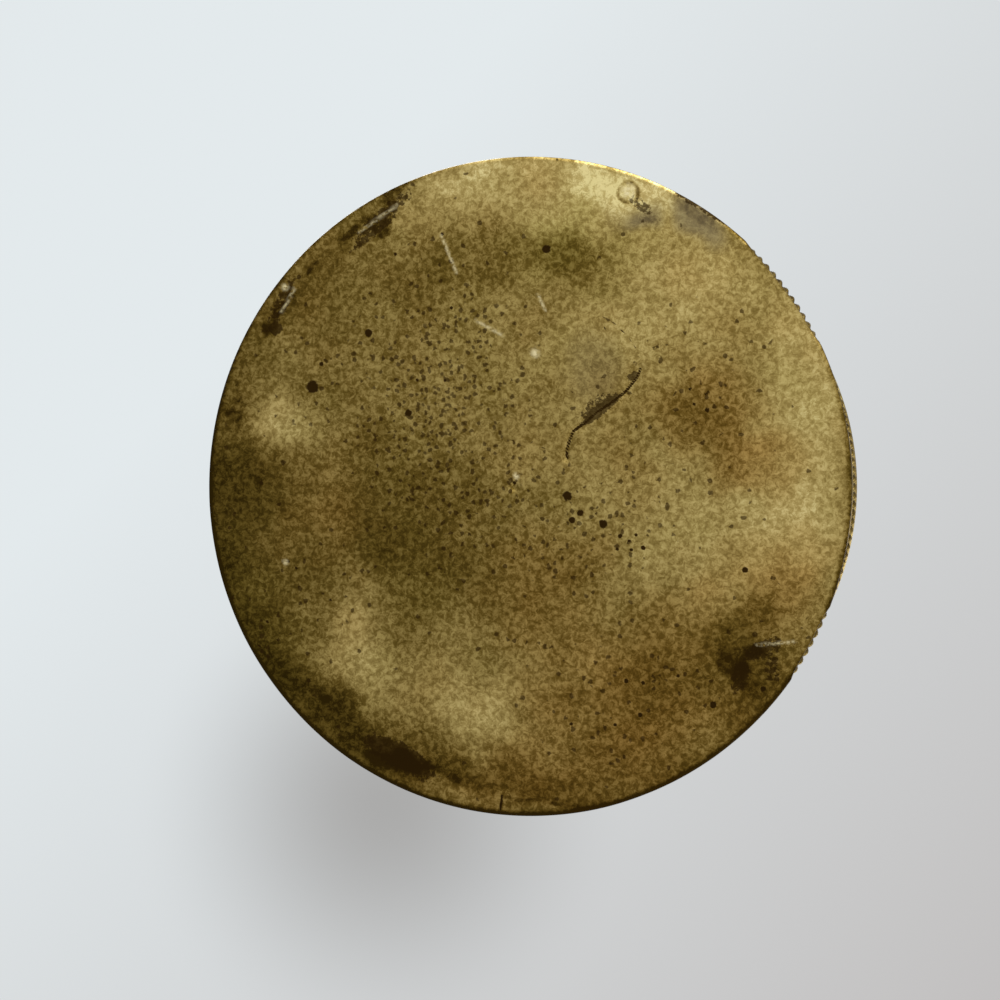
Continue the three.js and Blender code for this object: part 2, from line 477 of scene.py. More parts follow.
def aged_brass(name, tone, cloud_scale, cloud, coarse, gloss, warmth=0.0):
    material, tree, shader = new_material(name)
    place = add(tree, "ShaderNodeTexCoord").outputs["Object"]
    grain = use_group(tree, grain_group, place=place, coarse=coarse, fine=coarse * DUST_SHARE)
    clouds = noise_at(tree, place, cloud_scale, detail=5.0, roughness=0.62)
    stain_noise = noise_at(tree, place, STAIN_EDGE, detail=5.0, roughness=0.7)
    spot_noise = noise_at(tree, place, SPOT_EDGE, detail=2.0)
    stain = cut_mask(tree, "stain", stain_noise, STAIN_CUT)
    total = calc(tree, "ADD", swing(tree, clouds, cloud), grain.outputs["Tone"])
    total = calc(tree, "ADD", total, painted(tree, "tone"))
    total = calc(tree, "ADD", total, tone)
    total = calc(tree, "SUBTRACT", total, calc(tree, "MULTIPLY", stain, STAIN_DEPTH))
    hue_noise = noise_at(tree, place, cloud_scale * HUE_SCALE_SHARE, detail=3.0, roughness=0.5)
    hue = calc(tree, "ADD", swing(tree, hue_noise, HUE_SWING), painted(tree, "warmth"))
    hue = calc(tree, "ADD", hue, warmth)
    colour = use_group(tree, film_group, tone=total, warmth=hue).outputs["Color"]
    colour = blend_colours(tree, painted(tree, "haze"), colour, HAZE)
    crust_and_shade = brass_crust_and_shade(tree, place, stain, spot_noise)
    colour = blend_colours(tree, crust_and_shade, colour, CRUST_AND_SHADE)
    gleam = calc(tree, "MULTIPLY", painted(tree, "gleam"), spread(tree, spot_noise, 0.3, 0.6))
    colour = blend_colours(tree, gleam, colour, GLEAM)
    feed(tree, colour, shader.inputs["Base Color"])

    sheen = spread(tree, total, 0.1, 0.9, gloss + DULL_GAIN, gloss + WORN_GAIN, "LINEAR")
    dull = calc(tree, "MULTIPLY", crust_and_shade, CRUST_DULLS)
    feed(tree, calc(tree, "ADD", sheen, dull), shader.inputs["Roughness"])
    shader.inputs["Metallic"].default_value = 1.0
    sunk = calc(tree, "MULTIPLY", crust_and_shade, CRUST_SINKS)
    height = calc(tree, "SUBTRACT", grain.outputs["Height"], sunk)
    relief(tree, shader, height, strength=0.35, depth=0.03 * MM)
    return material


UNDERSIDE_BRASS = aged_brass(
    "underside_brass", tone=0.51, cloud_scale=170.0, cloud=0.42, coarse=0.30, gloss=0.42,
)
SHEET_BRASS = aged_brass(
    "sheet_brass", tone=0.52, cloud_scale=90.0, cloud=1.00, coarse=0.19, gloss=0.36,
)
INNER_BRASS = aged_brass(
    "inner_brass", tone=0.44, cloud_scale=120.0, cloud=0.70, coarse=0.20, gloss=0.44, warmth=0.25,
)
WIRE_BRASS = aged_brass(
    "wire_brass", tone=0.36, cloud_scale=160.0, cloud=0.40, coarse=0.25, gloss=0.36,
)
print("the underside's brass has", len(UNDERSIDE_BRASS.node_tree.nodes), "nodes")

# %% [markdown]
# ## Old solder
# Soft solder dries to a dull grey with a brown skin. It could be plain grey, but beside worn brass
# that looks new, so it uses the same grain with its own colours.

# %% Solder recipe
SOLDER_SKIN = (0.11, 0.095, 0.065, 1.0)
SOLDER_BARE = (0.30, 0.29, 0.255, 1.0)
SOLDER_CLOUD_SCALE = 260.0


def old_solder(name):
    material, tree, shader = new_material(name)
    place = add(tree, "ShaderNodeTexCoord").outputs["Object"]
    grain = use_group(tree, grain_group, place=place, coarse=0.8, fine=0.5)
    clouds = noise_at(tree, place, SOLDER_CLOUD_SCALE)
    share = calc(tree, "ADD", spread(tree, clouds, 0.35, 0.65), grain.outputs["Tone"])
    feed(tree, blend_colours(tree, share, SOLDER_SKIN, SOLDER_BARE), shader.inputs["Base Color"])
    feed(tree, spread(tree, clouds, 0.3, 0.7, 0.62, 0.45), shader.inputs["Roughness"])
    shader.inputs["Metallic"].default_value = 0.9
    relief(tree, shader, grain.outputs["Height"], strength=0.4, depth=0.04 * MM)
    return material


SOLDER = old_solder("old_solder")
print("solder has", len(SOLDER.node_tree.nodes), "nodes")

# %% [markdown]
# ## Base disc
# The underside fills the picture, so it gets the finest mesh. A square grid is pulled into a round
# sheet, which keeps its squares nearly even. A spun disc would crowd them in the middle. The
# border is then extruded round the edge and back over the inner floor.

# %% Underside grid
GRID_STEPS = 290
UNDERSIDE_LIFT = 0.10
EDGE_ROUND = 0.20

disc_bm = bmesh.new()
bmesh.ops.create_grid(disc_bm, x_segments=GRID_STEPS, y_segments=GRID_STEPS, size=1.0)
flat_radius = DISC_RADIUS - EDGE_ROUND
for vert in disc_bm.verts:
    a, b = vert.co.x, vert.co.y
    if abs(a) > abs(b):
        reach, turn = a, math.pi / 4 * b / a
    elif b != 0:
        reach, turn = b, math.pi / 2 - math.pi / 4 * a / b
    else:
        reach, turn = 0.0, 0.0
    vert.co = (
        flat_radius * reach * math.cos(turn),
        flat_radius * reach * math.sin(turn),
        UNDERSIDE_LIFT,
    )
print("underside has", len(disc_bm.faces), "squares")

# %% Edge and inner floor
EDGE_RINGS = (
    (DISC_RADIUS - 0.07, UNDERSIDE_LIFT + 0.06),
    (DISC_RADIUS - 0.01, UNDERSIDE_LIFT + 0.17),
    (DISC_RADIUS - 0.01, BASE_SHEET - 0.19),
    (DISC_RADIUS - 0.07, BASE_SHEET - 0.06),
    (DISC_RADIUS - 0.20, BASE_SHEET),
    (WALL_RADIUS - 2 * WALL_SHEET, BASE_SHEET),
    (WALL_RADIUS / 2, BASE_SHEET),
    (2.0, BASE_SHEET),
)


def carry_edge(bm, border, radius, height):
    result = bmesh.ops.extrude_edge_only(bm, edges=border)
    fresh = [item for item in result["geom"] if isinstance(item, bmesh.types.BMVert)]
    for vert in fresh:
        direction = Vector((vert.co.x, vert.co.y)).normalized()
        vert.co = (direction.x * radius, direction.y * radius, height)
    return [item for item in result["geom"] if isinstance(item, bmesh.types.BMEdge)]


border = [edge for edge in disc_bm.edges if edge.is_boundary]
for ring_radius, ring_height in EDGE_RINGS:
    border = carry_edge(disc_bm, border, ring_radius, ring_height)
bmesh.ops.edgenet_fill(disc_bm, edges=border)
bmesh.ops.recalc_face_normals(disc_bm, faces=disc_bm.faces)
print("disc closed:", all(edge.is_manifold for edge in disc_bm.edges))

# %% [markdown]
# ## Marks on the underside
# Each mark has a name and its place in the picture. They could be drawn in a picture file, but
# numbers painted on the mesh keep with the metal and need no file. A patch is a soft oval: its row
# gives its place, its two half lengths in pixels, its turn in degrees and its strength. A mark's
# value falls off evenly past its edge, and the material cuts it with noise, so that a coarse mesh
# still carries a crisp ragged spot.


# %% Patch and path masks
def patch(points, place_px, along_px, across_px=None, turn=0.0, soft=0.5):
    offset = points - on_disc(*place_px)
    angle = math.radians(turn)
    u = (offset[:, 0] * math.cos(angle) + offset[:, 1] * math.sin(angle)) / (along_px * PX)
    v = (offset[:, 1] * math.cos(angle) - offset[:, 0] * math.sin(angle))
    v = v / ((across_px or along_px) * PX)
    share = np.clip((1 + soft - np.hypot(u, v)) / (2 * soft), 0, 1)
    return share * share * (3 - 2 * share)


def path_distance(points, path_px):
    knots = [on_disc(*knot) for knot in path_px]
    nearest = np.full(len(points), 1e3)
    for start, end in zip(knots, knots[1:]):
        step = end - start
        share = np.clip((points - start) @ step / (step @ step), 0, 1)
        gap = points - (start + share[:, None] * step)
        nearest = np.minimum(nearest, np.hypot(gap[:, 0], gap[:, 1]))
    return nearest


def cone(distance, radius):
    return np.clip(1 - distance / (2 * radius), 0, 1)


def dot_values(points, dots_px):
    total = np.zeros(len(points))
    for place_px, width_px in dots_px.values():
        distance = np.linalg.norm(points - on_disc(*place_px), axis=1)
        total = np.maximum(total, cone(distance, width_px / 2 * PX))
    return total


def line_values(points, lines_px):
    total = np.zeros(len(points))
    for path_px, width_px, strength in lines_px:
        gap = path_distance(points, path_px)
        total = np.maximum(total, strength * cone(gap, width_px * PX))
    return total


def strongest_patch(points, patches, soft):
    total = np.zeros(len(points))
    for place_px, along_px, across_px, turn, strength in patches.values():
        shape = patch(points, place_px, along_px, across_px, turn, soft)
        total = np.maximum(total, strength * shape)
    return total


# %% [markdown]
# The broad tones come first: where the film is worn to straw, and where it has stayed dark. The
# patches along the upper rim and the right border are painted sheen where the window light glances
# off, and the dark patches named for shade are painted shade. The ovals are warped by noise before
# they are read, so none of them shows its outline.

# %% Broad tones
WORN_AND_SHEEN_PATCHES = {
    # painted sheen along the upper rim, where the window light glances off
    "cream_by_the_ring_mark": ((600, 184), 26, 17, 12, 0.26),
    "bright_upper_rim": ((668, 192), 52, 20, 28, 0.20),
    "upper_rim_sheen": ((480, 170), 66, 12, -8, 0.14),
    "upper_rim": ((560, 190), 165, 36, 4, 0.18),
    "upper_right_field": ((672, 288), 80, 72, 0, 0.14),
    # painted sheen along the right border
    "right_border": ((802, 440), 44, 150, 2, 0.20),
    "right_field": ((700, 520), 85, 62, 0, 0.13),
    "middle_field": ((520, 380), 90, 60, 0, 0.03),
    "upper_left_band": ((300, 262), 90, 24, -42, 0.05),
    "left_patch": ((276, 425), 30, 34, 0, 0.24),
    "lower_left_patch": ((352, 632), 34, 54, -28, 0.22),
    "lower_middle_patch": ((464, 716), 44, 30, 10, 0.20),
    "lower_rim": ((476, 801), 80, 12, 6, 0.16),
    "lower_field": ((560, 668), 46, 60, 0, 0.06),
}
DARK_PATCHES = {
    # rows named shade are painted shade; the others are darker film
    "above_the_middle": ((500, 262), 112, 32, 0, -0.13),
    "upper_green_cloud": ((576, 246), 42, 28, 0, -0.09),
    "upper_left_field": ((345, 325), 95, 66, -40, -0.10),
    "left_cloud": ((262, 482), 58, 36, 0, -0.12),
    "left_rim_shade": ((258, 570), 58, 160, -12, -0.22),
    "middle_left_field": ((402, 545), 82, 84, 0, -0.24),
    "middle_left_upper": ((420, 440), 95, 66, 0, -0.03),
    "middle_shade": ((540, 592), 56, 62, 0, -0.10),
    "red_brown_by_the_crease": ((703, 404), 44, 34, 0, -0.12),
    "red_brown_to_the_right": ((748, 461), 40, 26, 0, -0.17),
    "lower_brown": ((645, 712), 96, 78, 0, -0.15),
    "lower_dark": ((520, 782), 76, 26, 4, -0.15),
    "right_low_shade": ((790, 605), 60, 44, -50, -0.10),
    "lower_left_halo": ((324, 702), 66, 26, 38, -0.24),
    "blot_halo": ((412, 752), 70, 30, 24, -0.22),
    "upper_left_rim_shade": ((322, 262), 100, 20, -42, -0.14),
    "right_cluster_halo": ((752, 668), 44, 50, 0, -0.18),
}
WARM_PATCHES = {
    "red_brown_by_the_crease": ((703, 404), 46, 38, 0, 0.5),
    "red_brown_to_the_right": ((752, 461), 40, 26, 0, 0.6),
    "lower_brown": ((645, 712), 110, 86, 0, 0.7),
    "lower_dark": ((520, 782), 90, 36, 4, 0.5),
    "amber_right": ((768, 585), 50, 40, 0, 0.6),
    "middle_amber": ((540, 590), 60, 60, 0, 0.4),
    "left_cloud": ((320, 520), 60, 50, 0, 0.3),
    "left_green": ((258, 610), 50, 110, -16, -0.5),
    "upper_green": ((570, 250), 60, 40, 0, -0.6),
    "middle_green": ((410, 560), 50, 60, 0, -0.3),
}
WARP_SIZE = 7.0
WARP_REACH = 2.6
WARP_SEED = 1983  # without a seed the clock gives vector noise a new place in each run
noise.seed_set(WARP_SEED)
WARP_LAYER = 3.7
FINE_WARP = 2.6
FINE_WARP_LAYER = 9.1
BROAD_SOFT = 0.75


def warped(points):
    moved = points.copy()
    for row, (x, y) in enumerate(points):
        push = noise.noise_vector((x / WARP_SIZE, y / WARP_SIZE, WARP_LAYER))
        fine_place = (x * FINE_WARP / WARP_SIZE, y * FINE_WARP / WARP_SIZE, FINE_WARP_LAYER)
        push = push + 0.5 * noise.noise_vector(fine_place)
        moved[row, 0] += WARP_REACH * push.x
        moved[row, 1] += WARP_REACH * push.y
    return moved


def sum_patches(points, patches):
    total = np.zeros(len(points))
    for place_px, along_px, across_px, turn, strength in patches.values():
        total += strength * patch(points, place_px, along_px, across_px, turn, BROAD_SOFT)
    return total


print(len(WORN_AND_SHEEN_PATCHES), "worn patches and", len(DARK_PATCHES), "dark ones")

# %% [markdown]
# Stains are near-black crusts where heat or damp stood: the two solder marks at the upper left,
# the blot at the lower left, the cluster at the right and the broken ring at the top.

# %% Stains and haze
STAIN_PATCHES = {
    "heat_mark_upper": ((384, 216), 44, 9, -36, 0.62),
    "heat_mark_upper_tail": ((350, 240), 16, 8, -36, 0.75),
    "heat_mark_side": ((283, 303), 36, 9, -58, 0.55),
    "heat_mark_side_foot": ((275, 328), 9, 9, 0, 0.75),
    "side_patch": ((321, 264), 9, 6, -40, 0.62),
    "lower_blot": ((408, 760), 40, 12, 27, 0.95),
    "lower_blot_head": ((380, 747), 16, 11, 0, 0.90),
    "lower_blot_tail": ((446, 778), 26, 8, 20, 0.60),
    "lower_left_crust": ((322, 702), 46, 10, 40, 0.52),
    "right_cluster": ((744, 668), 16, 22, 10, 0.72),
    "right_cluster_top": ((764, 652), 20, 10, -20, 0.60),
    "upper_right_crust": ((690, 214), 34, 8, 38, 0.62),
    "below_the_ring_mark": ((642, 214), 16, 8, 30, 0.50),
    "rim_crust_left": ((231, 400), 6, 40, 12, 0.50),
    "rim_crust_lower": ((545, 800), 60, 6, -4, 0.50),
}
HAZE_PATCHES = {
    "grey_green_smudge": ((637, 211), 18, 13, 20, 0.55),
    "grey_purple_smudge": ((698, 225), 26, 15, 38, 0.60),
    "grey_over_the_dent": ((592, 372), 22, 34, 10, 0.18),
}
RING_MARK_PX = (628, 192)
RING_MARK_RADIUS_PX = 10
RING_MARK_LINE_PX = 2.4
RING_MARK_STRENGTH = 0.85
STAIN_SOFT = 0.6


def stain_values(points, bent_points):
    total = strongest_patch(bent_points, STAIN_PATCHES, STAIN_SOFT)
    from_ring = np.linalg.norm(points - on_disc(*RING_MARK_PX), axis=1)
    ring_gap = np.abs(from_ring - RING_MARK_RADIUS_PX * PX)
    return np.maximum(total, RING_MARK_STRENGTH * cone(ring_gap, RING_MARK_LINE_PX * PX))


print(len(STAIN_PATCHES), "stains and", len(HAZE_PATCHES), "hazes")

# %% [markdown]
# Spots are small and sharp, so they are written one by one, as their place and width in pixels.
# The finest pits are too many for that and get fields of density, which thin out at their rims.

# %% Spots
SPOTS_PX = {
    "big_left": ((312, 387), 14),
    "left_small": ((321, 364), 5),
    "left_brown": ((368, 333), 9),
    "left_middle": ((408, 413), 8),
    "top_star": ((546, 249), 9),
    "middle_one": ((567, 496), 10),
    "middle_two": ((572, 520), 7),
    "middle_three": ((580, 513), 7),
    "middle_four": ((603, 524), 9),
    "cluster_a": ((620, 536), 5),
    "cluster_b": ((629, 541), 4),
    "cluster_c": ((636, 535), 4),
    "cluster_d": ((643, 548), 5),
    "cluster_e": ((631, 550), 4),
    "cluster_f": ((617, 549), 4),
    "right_low": ((745, 570), 6),
    "right_foot": ((713, 705), 7),
    "right_rim": ((763, 689), 6),
    "above_crease": ((605, 328), 3),
    "copper_a": ((706, 394), 4),
    "copper_b": ((707, 410), 5),
    "copper_c": ((690, 389), 4),
    "copper_d": ((694, 404), 4),
    "low_a": ((626, 681), 5),
    "low_b": ((643, 683), 4),
    "low_c": ((678, 676), 4),
    "low_d": ((571, 724), 4),
    "low_e": ((615, 725), 4),
    "low_f": ((640, 715), 5),
    "left_low_a": ((296, 568), 4),
    "left_low_b": ((330, 600), 4),
    "left_low_c": ((267, 622), 4),
    "left_low_d": ((259, 646), 4),
    "left_low_e": ((278, 640), 4),
    "upper_a": ((417, 380), 4),
    "upper_b": ((445, 380), 4),
    "upper_c": ((451, 308), 4),
    "upper_d": ((442, 234), 4),
    "upper_e": ((395, 254), 4),
    # painted shadow: a dark dot in the hollow of the centre punch
    "punch_shadow": ((514, 483), 4),
}
PIT_FIELDS = {
    "upper_left_field": ((436, 378), 66, 84, 0, 0.55),
    "middle_left_field": ((438, 470), 56, 90, 0, 0.34),
    "middle_field": ((565, 520), 95, 46, 6, 0.42),
    "left_spots": ((312, 376), 46, 50, 0, 0.16),
    "right_field": ((700, 400), 60, 60, 0, 0.16),
    "lower_field": ((630, 700), 80, 60, 0, 0.14),
    "left_low_field": ((290, 620), 60, 60, 0, 0.16),
    "everywhere": ((514, 487), 260, 260, 0, 0.05),
}
print(len(SPOTS_PX), "spots and", len(PIT_FIELDS), "fields of pits")

# %% [markdown]
# The crease is a fold in the sheet where something pressed it, beside a smooth oval dent. It is
# both a step in the metal and a dark line in the film, deepened by crusts along its middle; line and
# crusts are partly painted shade in the fold. A line is written as its path, its half width in
# pixels and its strength. Bright scratches and the ridges of the solder marks are rubbed
# through to clean brass.

# %% Crease and crusts
CREASE_PX = (
    (640, 369), (636, 378), (626, 391), (612, 402), (597, 412), (583, 424), (573, 431),
    (569, 441), (566, 452), (567, 458),
)
FINE_CREASE_PX = ((640, 369), (638, 352), (629, 338), (614, 323), (602, 316))
RIM_CRACK_PX = ((502, 796), (500, 810))
DARK_LINES_PX = (
    # the two crease lines are partly painted shade in the fold
    (CREASE_PX, 1.9, 0.90),
    (FINE_CREASE_PX, 1.5, 0.62),
    (RIM_CRACK_PX, 1.9, 0.80),
)
RAGGED_SOFT = 0.5
RAGGED_PATCHES = {
    # the three crease rows are partly painted shade in the fold
    "crease_body": ((601, 409), 25, 6, -36, 1.0),
    "crease_edge": ((596, 404), 24, 8, -36, 0.55),
    "crease_knot": ((633, 376), 7, 4, -30, 1.0),
    "heat_mark_upper": ((384, 214), 46, 8, -36, 0.70),
    "heat_mark_upper_under": ((374, 232), 34, 5, -34, 0.75),
    "heat_mark_side": ((280, 305), 36, 9, -60, 0.66),
    "heat_mark_side_foot": ((275, 328), 8, 8, 0, 0.95),
    "cluster_left": ((740, 676), 9, 18, 16, 0.85),
    "cluster_top": ((762, 650), 24, 9, -22, 0.80),
    "cluster_right": ((772, 668), 8, 14, 10, 0.66),
    "ring_foot": ((640, 205), 16, 6, 40, 0.66),
    "upper_right_rim": ((700, 205), 46, 5, 36, 0.74),
    "lower_blot": ((398, 756), 44, 14, 26, 0.95),
    "star": ((546, 249), 4, 4, 0, 1.0),
    "brown_by_the_crease": ((659, 346), 10, 5, -20, 0.48),
}
print(len(RAGGED_PATCHES), "ragged crusts")

# %% Scratches and rubs
GLEAM_LINES_PX = {
    "right_scratch": ((757, 645), (794, 642)),
    "upper_left_scratch": ((441, 235), (456, 272)),
    "upper_scratch": ((475, 320), (502, 335)),
    "short_scratch": ((538, 295), (545, 310)),
    "upper_ridge": ((359, 232), (378, 218), (397, 205)),
    "side_ridge": ((281, 312), (288, 300), (294, 288)),
}
GLEAM_DOTS_PX = {
    "upper_dot": ((535, 353), 6),
    "left_dot": ((285, 562), 4),
    "punch_fleck": ((516, 476), 4),
    "ring_heart": ((628, 191), 9),
    "side_fleck": ((285, 287), 5),
}
GLEAM_LINE_PX = 1.0
GLEAM_LINE_STRENGTH = 0.6


def gleam_values(points):
    rubs = [(path, GLEAM_LINE_PX, GLEAM_LINE_STRENGTH) for path in GLEAM_LINES_PX.values()]
    return np.maximum(line_values(points, rubs), dot_values(points, GLEAM_DOTS_PX))


print(len(GLEAM_LINES_PX), "bright lines and", len(GLEAM_DOTS_PX), "bright dots")

# %% [markdown]
# ## Shape of the underside
# Old sheet is never flat. The underside gets slow waves, the oval dent with its step, shallow
# hollows under the crusts, raised ridges in the solder marks, and a punched centre. A bump in the
# material would shade these but leave the mesh flat, so the points are moved. The disc's edge was
# also filed back by a third of a millimetre in two places, where the twisted wire looks out.

# %% Bend the sheet
WAVE_SIZE = 14.0
WAVE_HEIGHT = 0.035
WAVE_LAYER = 0.4
PRESSED_PATCHES = {
    "dent_by_the_crease": ((592, 371), 24, 34, 8, 0.45, 0.16),
    "heat_mark_upper": ((376, 219), 34, 9, -36, 0.5, 0.08),
    "heat_mark_side": ((287, 303), 26, 8, -58, 0.5, 0.08),
    "right_cluster": ((748, 666), 16, 20, 0, 0.6, 0.10),
}
CREASE_STEP = (CREASE_PX, 3.2, 0.14)
RIDGE_HALF_WIDTH_PX = 3.0
RIDGE_HEIGHT = 0.09
PUNCH_DEPTH = 0.22
PUNCH_RADIUS = 0.35


def bend_underside(bm):
    low = [vert for vert in bm.verts if vert.co.z < UNDERSIDE_LIFT + 1e-3]
    flat = np.array([(vert.co.x, vert.co.y) for vert in low])
    lift = line_values(flat, [CREASE_STEP])
    for place_px, along_px, across_px, turn, soft, depth in PRESSED_PATCHES.values():
        lift += depth * patch(flat, place_px, along_px, across_px, turn, soft)
    lift -= line_values(flat, [
        (GLEAM_LINES_PX[name], RIDGE_HALF_WIDTH_PX, RIDGE_HEIGHT)
        for name in ("upper_ridge", "side_ridge")
    ])
    lift += PUNCH_DEPTH * cone(np.linalg.norm(flat, axis=1), PUNCH_RADIUS)
    for vert, extra in zip(low, lift):
        wave = noise.noise((vert.co.x / WAVE_SIZE, vert.co.y / WAVE_SIZE, WAVE_LAYER))
        vert.co.z = max(0.0, vert.co.z + extra + WAVE_HEIGHT * wave)
    print("deepest mark", round(float(lift.max()), 2), "mm")


bend_underside(disc_bm)

# %% File the edge
EDGE_ZONE = 3 * EDGE_ROUND
EDGE_WAVE = 0.05
EDGE_WAVE_SIZE = 6
EDGE_WAVE_LAYER = 5.2
FILED_STRETCHES = {"upper_right": (-33.0, 11.0), "lower_right": (29.5, 7.0)}
FILED_DEPTH = 0.34
FILED_SHARPNESS = 4


def file_edge(bm):
    zone_start = DISC_RADIUS - EDGE_ZONE
    for vert in bm.verts:
        radius = math.hypot(vert.co.x, vert.co.y)
        if radius < zone_start:
            continue
        angle = math.degrees(math.atan2(vert.co.y, vert.co.x))
        wave_place = (vert.co.x / EDGE_WAVE_SIZE, vert.co.y / EDGE_WAVE_SIZE, EDGE_WAVE_LAYER)
        cut = EDGE_WAVE * (0.5 + 0.5 * noise.noise(wave_place))
        for middle, half in FILED_STRETCHES.values():
            share = max(0.0, 1 - (abs(angle - middle) / half) ** FILED_SHARPNESS)
            cut = max(cut, FILED_DEPTH * share)
        share_of_zone = (radius - zone_start) / EDGE_ZONE
        factor = 1 - cut * share_of_zone / radius
        vert.co.x *= factor
        vert.co.y *= factor


file_edge(disc_bm)
base_disc = to_object("base_disc_sheet", disc_bm, "box", "brass_sheet", "base_disc")

# %% [markdown]
# The marks are painted on the underside only. The inner floor gets none, only an even painted shade
# for its place inside the box. A dark line follows the rim, with a broader shade inside it; both
# are painted shade. A lean makes both strongest where the picture has them, away from the window
# light: it holds a base value and how much that grows towards +Y and towards +X.

# %% Paint the underside
RIM_SHADE_LINE_WIDTH = 0.62
RIM_SHADE_LINE_RISE = 0.5
RIM_SHADE_LINE_LEAN = (0.44, 0.32, -0.06)
RIM_SHADE_WIDTH = 5.5
RIM_SHADE_DEPTH = 0.26
RIM_SHADE_LEAN = (0.35, 0.6, -0.6)
INNER_FLOOR_SHADE = -0.08

disc_points = points_of(base_disc)
flat_points = disc_points[:, :2]
bent_points = warped(flat_points)
below = (disc_points[:, 2] < BASE_SHEET * 0.6).astype(float)
from_axis = np.hypot(flat_points[:, 0], flat_points[:, 1])


def leaning(lean):
    base, to_y, to_x = lean
    share_y = flat_points[:, 1] / DISC_RADIUS
    share_x = flat_points[:, 0] / DISC_RADIUS
    return np.clip(base + to_y * share_y + to_x * share_x, 0, 1)


# painted shade: a dark rim line and a broader shade inside it, strongest away from the window light
rim_shade_line = np.clip((from_axis - (DISC_RADIUS - RIM_SHADE_LINE_WIDTH)) / RIM_SHADE_LINE_RISE, 0, 1)
rim_shade_line *= leaning(RIM_SHADE_LINE_LEAN)
rim_shade = np.clip((from_axis - (DISC_RADIUS - RIM_SHADE_WIDTH)) / RIM_SHADE_WIDTH, 0, 1) ** 2
rim_shade *= RIM_SHADE_DEPTH * leaning(RIM_SHADE_LEAN)
broad_tone = sum_patches(bent_points, WORN_AND_SHEEN_PATCHES) + sum_patches(bent_points, DARK_PATCHES)
spots = dot_values(flat_points, SPOTS_PX)
# the inner floor gets an even painted shade
disc_tone = below * (broad_tone - rim_shade_line - rim_shade) + INNER_FLOOR_SHADE * (1 - below)
marks = {
    "warmth": sum_patches(bent_points, WARM_PATCHES),
    "stain": stain_values(flat_points, bent_points),
    "haze": sum_patches(bent_points, HAZE_PATCHES),
    "spot": np.maximum(spots, line_values(flat_points, DARK_LINES_PX)),
    "ragged": strongest_patch(flat_points, RAGGED_PATCHES, RAGGED_SOFT),
    "pitting": sum_patches(bent_points, PIT_FIELDS),
    "gleam": gleam_values(flat_points),
}
paint(base_disc, "tone", disc_tone)
for mark, values in marks.items():
    paint(base_disc, mark, below * values)
base_disc.data.materials.append(UNDERSIDE_BRASS)
print("tones run from", round(float(disc_tone.min()), 2), "to", round(float(disc_tone.max()), 2))

# %% [markdown]
# ## Rolled walls
# The body and the lid's skirt are strips of sheet bent into hoops and soldered end to end. A full
# spin would leave no seam to see, so each outline with its eased corners stops just short of a
# turn. The gap between the two ends is filled by a thin line of solder, as on the real seam.

# %% Body wall and lid skirt
SEAM_GAP = 0.2
BODY_SEAM = 100
SKIRT_SEAM = 80
SHEET_EASE = 0.12
WALL_RUNGS = 10


def rolled_hoop(name, node, body, seam):
    bottom, top = heights(node)
    bm = outline_bmesh((
        (WALL_INNER, bottom), (WALL_RADIUS, bottom), (WALL_RADIUS, top), (WALL_INNER, top),
    ), SHEET_EASE)
    long_edges = [edge for edge in bm.edges if edge.calc_length() > (top - bottom) / 2]
    bmesh.ops.subdivide_edges(bm, edges=long_edges, cuts=WALL_RUNGS)
    spin_with_gap(bm, math.radians(seam), SEAM_GAP / 2 / WALL_RADIUS, TURN_STEPS)
    return to_object(name, bm, body, "brass_sheet", node)


body_wall = rolled_hoop("body_wall_sheet", "body_wall", "box", BODY_SEAM)
lid_skirt = rolled_hoop("lid_skirt_sheet", "lid_skirt", "lid", SKIRT_SEAM)

# %% Solder in the seams
SEAM_SINK = 0.04
SEAM_BITE = 0.01
SEAM_END = 0.1
SEAM_EASE = 0.03


def seam_line(name, node, body, seam):
    bottom, top = heights(node)
    bm = bmesh.new()
    bmesh.ops.create_cube(bm, size=1.0)
    size = (WALL_SHEET - 2 * SEAM_SINK, SEAM_GAP + 2 * SEAM_BITE, top - bottom - 2 * SEAM_END)
    bmesh.ops.scale(bm, vec=size, verts=bm.verts)
    bmesh.ops.bevel(
        bm, geom=bm.edges[:], offset=SEAM_EASE, segments=1,
        affect="EDGES", profile=0.5, material=-1,
    )
    middle = ((WALL_RADIUS + WALL_INNER) / 2, 0, (bottom + top) / 2)
    bmesh.ops.translate(bm, vec=middle, verts=bm.verts)
    turn_round(bm, math.radians(seam))
    line = to_object(name, bm, body, "solder")
    line.data.materials.append(SOLDER)


seam_line("body_seam_solder", "body_wall", "box", BODY_SEAM)
seam_line("skirt_seam_solder", "lid_skirt", "lid", SKIRT_SEAM)

# %% [markdown]
# Fingers hold a box by its walls, so the film is worn thin at mid height and thick in the corners
# by the wire, and solder has left its mark beside each seam. The inside is duller than the outside.
# The scorch across a seam is a band, a smooth hump of a given middle and width.

# %% Wear on the walls
CORNER_SHARE = 0.3
WALL_WEAR = 0.16
OUTER_FILM = 0.12
INNER_FILM = 0.10
SCORCH_WIDTH = 1.4
SCORCH_SHADE = 0.2
SCORCH_WARMTH = 0.7


def band(distance, middle, width):
    return np.exp(-((distance - middle) / width) ** 2)


